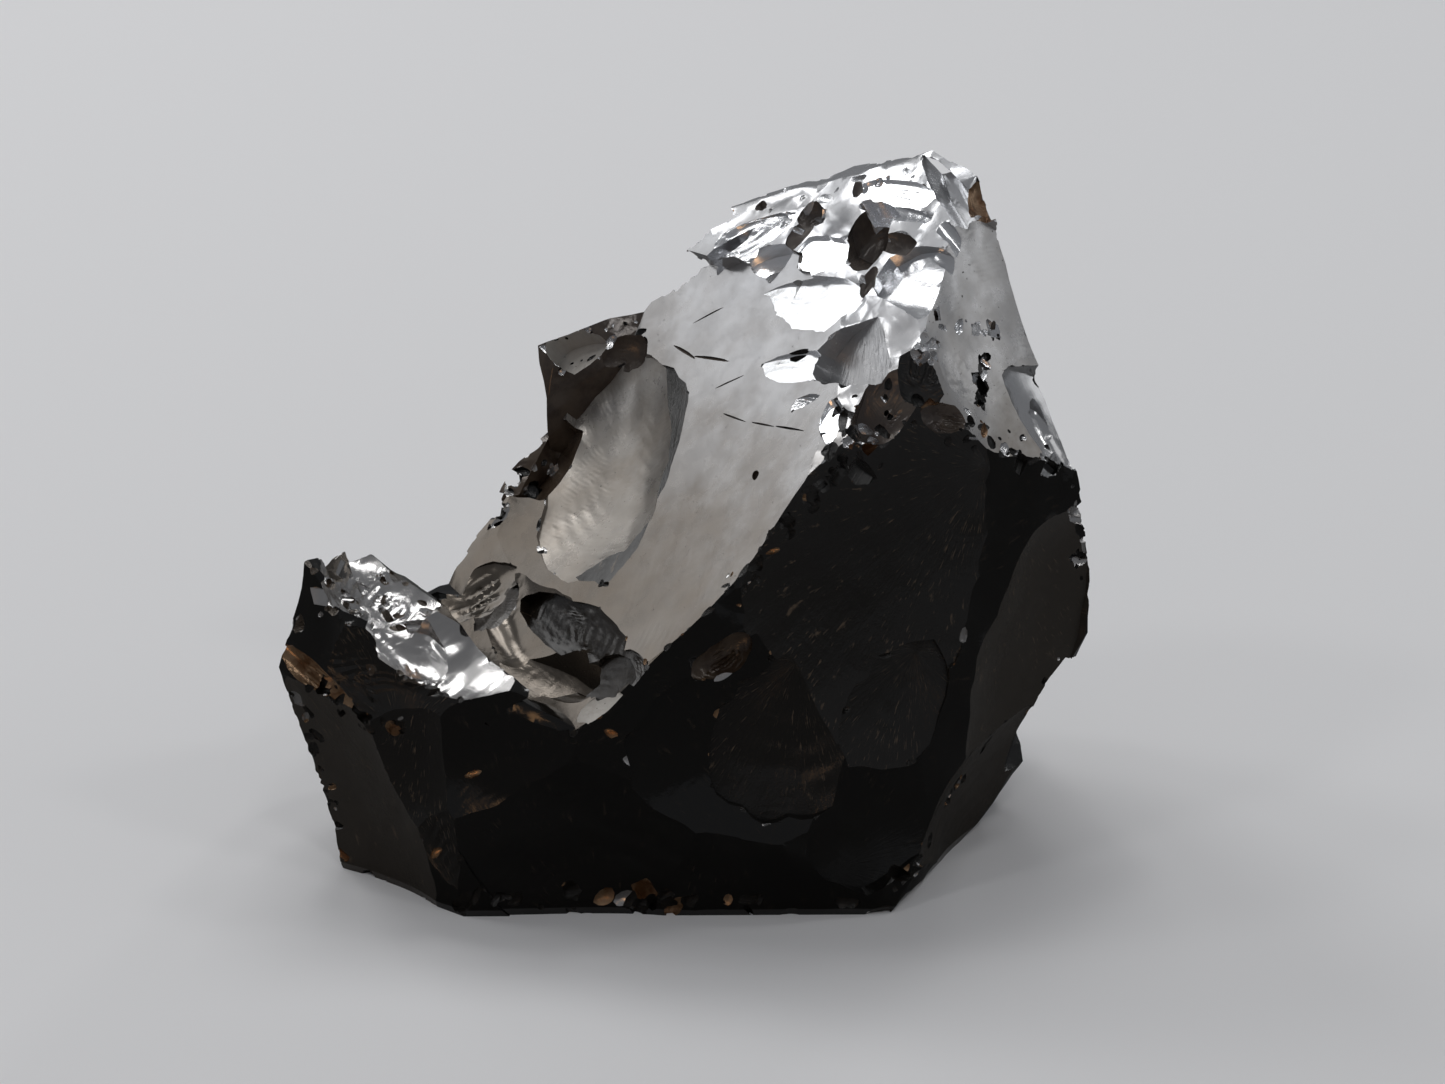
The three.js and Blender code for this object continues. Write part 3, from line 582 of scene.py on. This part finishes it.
def broken_lump():
    """The chunks joined and broken: first the great scars, then those that also cut the knob, the crust
    and the lip, then the crumbled places, then the sharp edges."""
    body, left_block, horn, knob, crust, lip = [chunk(name, corners) for name, corners in CHUNKS.items()]
    scars = list(SCARS.values())
    early = list(SCARS).index("knob cap")
    tools = [(left_block, "UNION"), (horn, "UNION"), *cutters(scars[:early], 1, True)]
    tools += [(knob, "UNION"), (crust, "UNION"), (lip, "UNION")]
    tools += cutters(scars[early:], early + 1, True)
    mesh, next_number = chipped(carve(body, tools), crumbs, CHIP_MARK)
    mesh, _ = chipped(mesh, edge_chips, next_number)
    return mesh


def largest_island(bm):
    """Deletes every loose crumb that the cuts have left."""
    left, best = set(bm.verts), []
    while left:
        stack, island = [left.pop()], []
        while stack:
            vert = stack.pop()
            island.append(vert)
            for edge in vert.link_edges:
                other = edge.other_vert(vert)
                if other in left:
                    left.remove(other)
                    stack.append(other)
        best = max(best, island, key=len)
    keep = set(best)
    bmesh.ops.delete(bm, geom=[v for v in bm.verts if v not in keep], context="VERTS")


def mend_pinches(bm):
    """Draws together the ends of each tiny edge that more than two faces share, and drops what is left
    loose."""
    for _ in range(3):
        pinched = [edge for edge in bm.edges if len(edge.link_faces) > 2]
        bmesh.ops.collapse(bm, edges=pinched)
        loose = [vert for vert in bm.verts if not vert.link_faces]
        bmesh.ops.delete(bm, geom=loose, context="VERTS")


# How much silver film, hackle, bronze and dust each finish carries. The silver film is partly the stone's
# silvery lustre and partly painted sheen, given to the faces that catch the lamps;
# film over 1 is polished bright, a painted highlight near white, and dust over 1 is frosted, partly painted
# pale light.
FINISHES = {
    "glass": (0.0, 0.15, 0.0, 0.1),
    "slope": (0.8, 0.0, 0.0, 0.7),
    "silver": (1.4, 0.05, 0.0, 0.1),
    "mirror": (2.0, 0.0, 0.0, 0.0),
    "streaked": (0.8, 0.8, 0.0, 0.3),
    "bright": (1.2, 0.0, 0.0, 0.2),
    "pearly": (1.0, 0.05, 0.0, 1.35),
    "frosted": (1.0, 0.1, 0.0, 1.9),
    "dim": (0.1, 0.6, 0.04, 0.6),
    "dark": (0.03, 0.5, 0.02, 0.6),
    "glint": (0.0, 0.1, 1.0, 0.0),
    "smoky": (0.17, 0.7, 0.0, 0.2),
    "hackled": (0.03, 1.0, 0.0, 0.1),
    "crushed": (0.85, 0.9, 0.0, 0.3),
    "brown": (0.1, 0.4, 0.12, 0.3),
    "bronze": (0.1, 0.5, 0.75, 0.1),
}


def finish_of_chip(number, place):
    """A chip's finish: bright on the peak and the horn, dark with some bronze along the front."""
    draw = random.Random(number).random()
    if place.z > 24.5 * MM or (place.x < -11 * MM and place.z > 11 * MM):
        return FINISHES["silver" if draw < 0.45 else "crushed" if draw < 0.85 else "brown"]
    if place.y < 0:
        return FINISHES["bronze" if draw < 0.12 else "silver" if draw < 0.2 else "hackled"]
    return FINISHES["silver" if draw < 0.3 else "glass"]


def stone():
    """The finished lump, with the finish of each face."""
    mesh = broken_lump()
    bm = bmesh.new()
    bm.from_mesh(mesh)
    largest_island(bm)
    bmesh.ops.triangulate(bm, faces=bm.faces)
    mend_pinches(bm)
    scar_number = bm.faces.layers.int["scar"]
    for face in bm.faces:
        face.smooth = True
    for edge in bm.edges:
        if not edge.is_manifold:
            continue
        one, two = edge.link_faces
        limit = SMOOTH_INSIDE if one[scar_number] == two[scar_number] else SMOOTH_BETWEEN
        edge.smooth = edge.calc_face_angle(0) < math.radians(limit)
    bmesh.ops.scale(bm, vec=(MM, MM, MM), verts=bm.verts)
    bm.to_mesh(mesh)
    bm.free()
    kinds = dict(enumerate((FINISHES[cut["finish"]] for cut in SCARS.values()), 1))
    kinds.update({BARE: FINISHES["glass"], SILVER_SKIN: FINISHES["slope"], BROWN_SKIN: FINISHES["brown"]})
    numbers = [item.value for item in mesh.attributes["scar"].data]
    colours = []
    for number, side in zip(numbers, mesh.polygons):
        colours.extend(kinds[number] if number in kinds else finish_of_chip(number, side.center))
    finish = mesh.attributes.new("finish", "FLOAT_COLOR", "FACE")
    finish.data.foreach_set("color", colours)
    mesh.attributes.remove(mesh.attributes["scar"])
    mesh.name = "broken_stone"
    made = bpy.data.objects.new("broken_stone", mesh)
    bpy.context.scene.collection.objects.link(made)
    return made


piece = stone()
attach(piece, "root")
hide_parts("stone")

# --- the finish ---------------------------------------------------------------------------


class Value:
    """A socket that can be used in sums: each operation adds its Math node."""

    def __init__(self, maker, socket):
        self.maker = maker
        self.socket = socket

    def math(self, operation, *others):
        node = self.maker.add("Math", {"operation": operation}, *[self, *others])
        return node.value()

    def __add__(self, other):
        return self.math("ADD", other)

    def __sub__(self, other):
        return self.math("SUBTRACT", other)

    def __rsub__(self, other):
        return self.maker.add("Math", {"operation": "SUBTRACT"}, other, self).value()

    def __mul__(self, other):
        return self.math("MULTIPLY", other)

    __radd__ = __add__
    __rmul__ = __mul__

    def clamped(self):
        node = self.maker.add("Math", {"operation": "ADD", "use_clamp": True}, self, 0.0)
        return node.value()


class Made:
    """A node that was added."""

    def __init__(self, maker, node):
        self.maker = maker
        self.node = node

    def value(self, name=0):
        return Value(self.maker, self.node.outputs[name])


class Maker:
    """Adds nodes to one material."""

    def __init__(self, material):
        self.tree = material.node_tree

    def plug(self, socket, value):
        if isinstance(value, Value):
            self.tree.links.new(value.socket, socket)
        else:
            socket.default_value = value

    def add(self, kind, settings=None, *by_place, **by_name):
        node = self.tree.nodes.new("ShaderNode" + kind)
        for name, value in (settings or {}).items():
            setattr(node, name, value)
        for place, value in enumerate(by_place):
            self.plug(node.inputs[place], value)
        for name, value in by_name.items():
            self.plug(node.inputs[name.replace("_", " ")], value)
        return Made(self, node)

    def noise(self, vector, scale, detail=2.0, roughness=0.5, distortion=0.0):
        return self.add("TexNoise", None, Vector=vector, Scale=scale, Detail=detail,
                        Roughness=roughness, Distortion=distortion).value("Fac")

    def ramp(self, value, low, high, to_low=0.0, to_high=1.0):
        made = self.add("MapRange", {"interpolation_type": "SMOOTHSTEP"}, value, low, high, to_low, to_high)
        return made.value("Result")

    def blend(self, factor, one, two):
        node = self.add("Mix", {"data_type": "RGBA"}).node
        self.plug(node.inputs[0], factor)
        self.plug(node.inputs[6], one)
        self.plug(node.inputs[7], two)
        return Value(self, node.outputs[2])

    def vector(self, operation, *parts, output=0):
        return self.add("VectorMath", {"operation": operation}, *parts).value(output)


def shungite():
    """The one material: black glass under a silver film that is partly painted sheen, with hackle, bronze
    and dust.
    """
    material = bpy.data.materials.new("shungite")
    material.use_nodes = True
    make = Maker(material)
    shader = material.node_tree.nodes["Principled BSDF"]

    # places in millimetres on the stone, and from where each scar was struck
    place = make.vector("MULTIPLY", make.add("TexCoord").value("Object"), (1000, 1000, 1000))
    struck = make.add("UVMap", {"uv_map": "strike"}).value("UV")
    parts = make.add("SeparateXYZ", None, struck)
    away = make.vector("LENGTH", struck, output="Value")
    bearing = parts.value("Y").math("ARCTAN2", parts.value("X"))
    finish = make.add("Attribute", {"attribute_name": "finish"})
    amounts = make.add("SeparateColor", None, finish.value("Color"))
    film_and_painted_sheen, hackle, bronze = (amounts.value(name) for name in ("Red", "Green", "Blue"))
    dust = finish.value("Alpha")

    # ripples round the blow, and streaks running away from it
    waver = make.noise(place, 0.8, 2)
    ripple = (away * 13 + waver * 9).math("SINE") * make.ramp(make.noise(place, 0.7, 2), 0.45, 0.65)
    fan = make.add("CombineXYZ", None, bearing * 9, away * 0.35, 0.0).value()
    streak = make.noise(fan, 2.4, 4, 0.65)

    # the film thins in patches, and brown dust lies on it; the film is partly the stone's lustre and partly
    # painted sheen
    patches = make.ramp(make.noise(place, 0.9, 4, 0.6, 0.4), 0.35, 0.62)
    polish_and_painted_highlight = (film_and_painted_sheen - 1).clamped()
    # where the dust is over 1 the face turns a pale matte grey: partly frosted dust, partly painted pale
    # light in place of the reflection it would catch
    frost_and_painted_pale_light = (dust - 1).clamped() * make.ramp(make.noise(place, 1.1, 4, 0.6), 0.25, 0.6, 0.6, 1.0)
    dust = dust.clamped()
    film_and_painted_sheen = (film_and_painted_sheen * (0.9 + 0.1 * patches)).clamped()
    brown = (dust * make.ramp(make.noise(place, 0.28, 5, 0.62), 0.38, 0.66)).clamped()
    specks = make.ramp(make.noise(place, 5.5, 2, 0.7), 0.70, 0.74) * dust
    # painted light: the silver film is painted from a dark warm grey low on the stone to near white at the
    # top, lighter towards the top where the light falls on it; the brown dust thins out towards the top
    # with it
    up = make.ramp(make.add("SeparateXYZ", None, place).value("Z"), 13, 27)
    silver = make.blend(up, (0.178, 0.156, 0.133, 1), (0.62, 0.63, 0.65, 1))
    silver = make.blend(brown * (1 - 0.7 * up), silver, (0.17, 0.14, 0.11, 1))
    # painted highlight: polished film is painted near white, on the facets that mirror the lamps
    silver = make.blend(polish_and_painted_highlight, silver, (0.92, 0.93, 0.95, 1))
    # painted pale light: the frosted faces take a pale matte grey
    silver = make.blend(frost_and_painted_pale_light, silver, (0.42, 0.40, 0.37, 1))
    # painted sheen: where the film lies, the black glass takes the silver colour
    colour = make.blend(film_and_painted_sheen, (0.0045, 0.0042, 0.0038, 1), silver)
    colour = make.blend(bronze, colour, make.blend(patches, (0.16, 0.07, 0.025, 1), (0.38, 0.25, 0.15, 1)))
    hairs = make.noise(make.add("CombineXYZ", None, bearing * 34, away * 0.6, 0.0).value(), 2.4, 2, 0.5)
    hairs = make.ramp(hairs, 0.62, 0.7) * make.ramp(make.noise(place, 0.35, 3), 0.5, 0.62)
    scratches = (make.ramp(streak, 0.6, 0.72) + hairs).clamped() * hackle * (1 - film_and_painted_sheen).clamped()
    colour = make.blend(scratches * 0.7, colour, (0.11, 0.08, 0.055, 1))
    colour = make.blend(specks, colour, (0.03, 0.022, 0.016, 1))
    make.plug(shader.inputs["Base Color"], colour)
    metal = (film_and_painted_sheen * 0.9 + bronze * 0.8 - specks) * (1 - 0.8 * frost_and_painted_pale_light)
    make.plug(shader.inputs["Metallic"], metal.clamped())
    rough = 0.07 + 0.08 * film_and_painted_sheen + 0.10 * hackle + 0.10 * brown + 0.25 * specks
    rough = rough + 0.05 * make.noise(place, 2.2, 3) + 0.3 * frost_and_painted_pale_light
    make.plug(shader.inputs["Roughness"], rough)
    shader.inputs["IOR"].default_value = 1.45

    # the fine relief
    grit = make.noise(place, 9, 3, 0.6)
    rings = (away * 26 + waver * 10).math("SINE") * make.ramp(make.noise(fan, 0.9, 2), 0.42, 0.6)
    height = 0.0022 * ripple + 0.0035 * frost_and_painted_pale_light * rings
    height += (0.004 + 0.03 * hackle) * streak + (0.0012 + 0.006 * hackle) * grit
    bump = make.add("Bump", None, Strength=1.0, Distance=0.001, Height=height)
    make.plug(shader.inputs["Normal"], bump.value())
    return material


piece.data.materials.clear()
piece.data.materials.append(shungite())

# --- floor, light and camera --------------------------------------------------------------


# The camera looks down this many degrees from this far away, in metres, and the lamps stand this far
# from the middle of the stone.
CAMERA_UP = 24
CAMERA_AWAY = 0.170
CAMERA_TARGET = Vector((0.00165, 0, 0.015))
STONE_MIDDLE = Vector((0, 0, 0.015))
LAMP_AWAY = 0.5


def floor():
    """The plain pale floor."""
    bm = bmesh.new()
    bmesh.ops.create_grid(bm, x_segments=1, y_segments=1, size=3)
    made = new_object("floor", bm)
    material = bpy.data.materials.new("pale board")
    material.use_nodes = True
    shader = material.node_tree.nodes["Principled BSDF"]
    shader.inputs["Base Color"].default_value = (0.8, 0.8, 0.81, 1)
    shader.inputs["Roughness"].default_value = 0.8
    made.data.materials.append(material)


def dark_sheet():
    """A dark sheet over the floor that only mirror faces see, so the stone mirrors a dark table."""
    bm = bmesh.new()
    bmesh.ops.create_grid(bm, x_segments=1, y_segments=1, size=0.6)
    bmesh.ops.translate(bm, vec=(0, 0, 0.0003), verts=bm.verts)
    sheet = new_object("dark_sheet", bm)
    material = bpy.data.materials.new("dark sheet")
    material.use_nodes = True
    material.node_tree.nodes["Principled BSDF"].inputs["Base Color"].default_value = (0.09, 0.09, 0.09, 1)
    material.node_tree.nodes["Principled BSDF"].inputs["Roughness"].default_value = 0.9
    sheet.data.materials.append(material)
    sheet.visible_camera = sheet.visible_diffuse = sheet.visible_shadow = False


def aimed(name, data, azimuth, elevation, distance, target):
    """A lamp or camera that looks at the target from that side."""
    back = towards(azimuth, elevation)
    made = bpy.data.objects.new(name, data)
    made.location = target + back * distance
    made.rotation_mode = "QUATERNION"
    made.rotation_quaternion = (-back).to_track_quat("-Z", "Y")
    bpy.context.scene.collection.objects.link(made)
    return made


def lamp(name, azimuth, elevation, width, depth, radiance, colour=(1, 1, 1), distance=LAMP_AWAY):
    """A soft oblong lamp of an even brightness, seen from the stone on that side."""
    data = bpy.data.lights.new(name, "AREA")
    data.shape = "RECTANGLE"
    data.size = width
    data.size_y = depth
    data.energy = radiance * width * depth * math.pi
    data.color = colour
    aimed(name, data, azimuth, elevation, distance, STONE_MIDDLE)


floor()
dark_sheet()
lamp("wide softbox", 232, 21, 0.42, 0.24, 1.2)
lamp("lamp over the softbox", 222, 43, 0.13, 0.11, 5)
lamp("high lamp", 178, 58, 0.24, 0.13, 4)
lamp("upper softbox", 230, 62, 0.34, 0.16, 0.6)
lamp("right softbox", 94, 18, 0.24, 0.24, 0.7)
for azimuth, elevation in ((150, 30), (205, 68), (120, 62), (250, 52), (60, 45), (-70, 50), (20, 62)):
    lamp("sparkle", azimuth, elevation, 0.06, 0.06, 9)
lamp("warm glow", -20, 6, 0.05, 0.05, 3, (1, 0.55, 0.25), distance=0.3)

world = bpy.data.worlds.new("room")
bpy.context.scene.world = world
world.use_nodes = True
world.node_tree.nodes["Background"].inputs["Color"].default_value = (0.17, 0.175, 0.185, 1)

camera_data = bpy.data.cameras.new("camera")
camera_data.sensor_width = 36
camera_data.lens = 89.7
camera_data.clip_start = 0.01
bpy.context.scene.camera = aimed("camera", camera_data, 0, CAMERA_UP, CAMERA_AWAY, CAMERA_TARGET)
bpy.context.scene.view_settings.view_transform = "Standard"
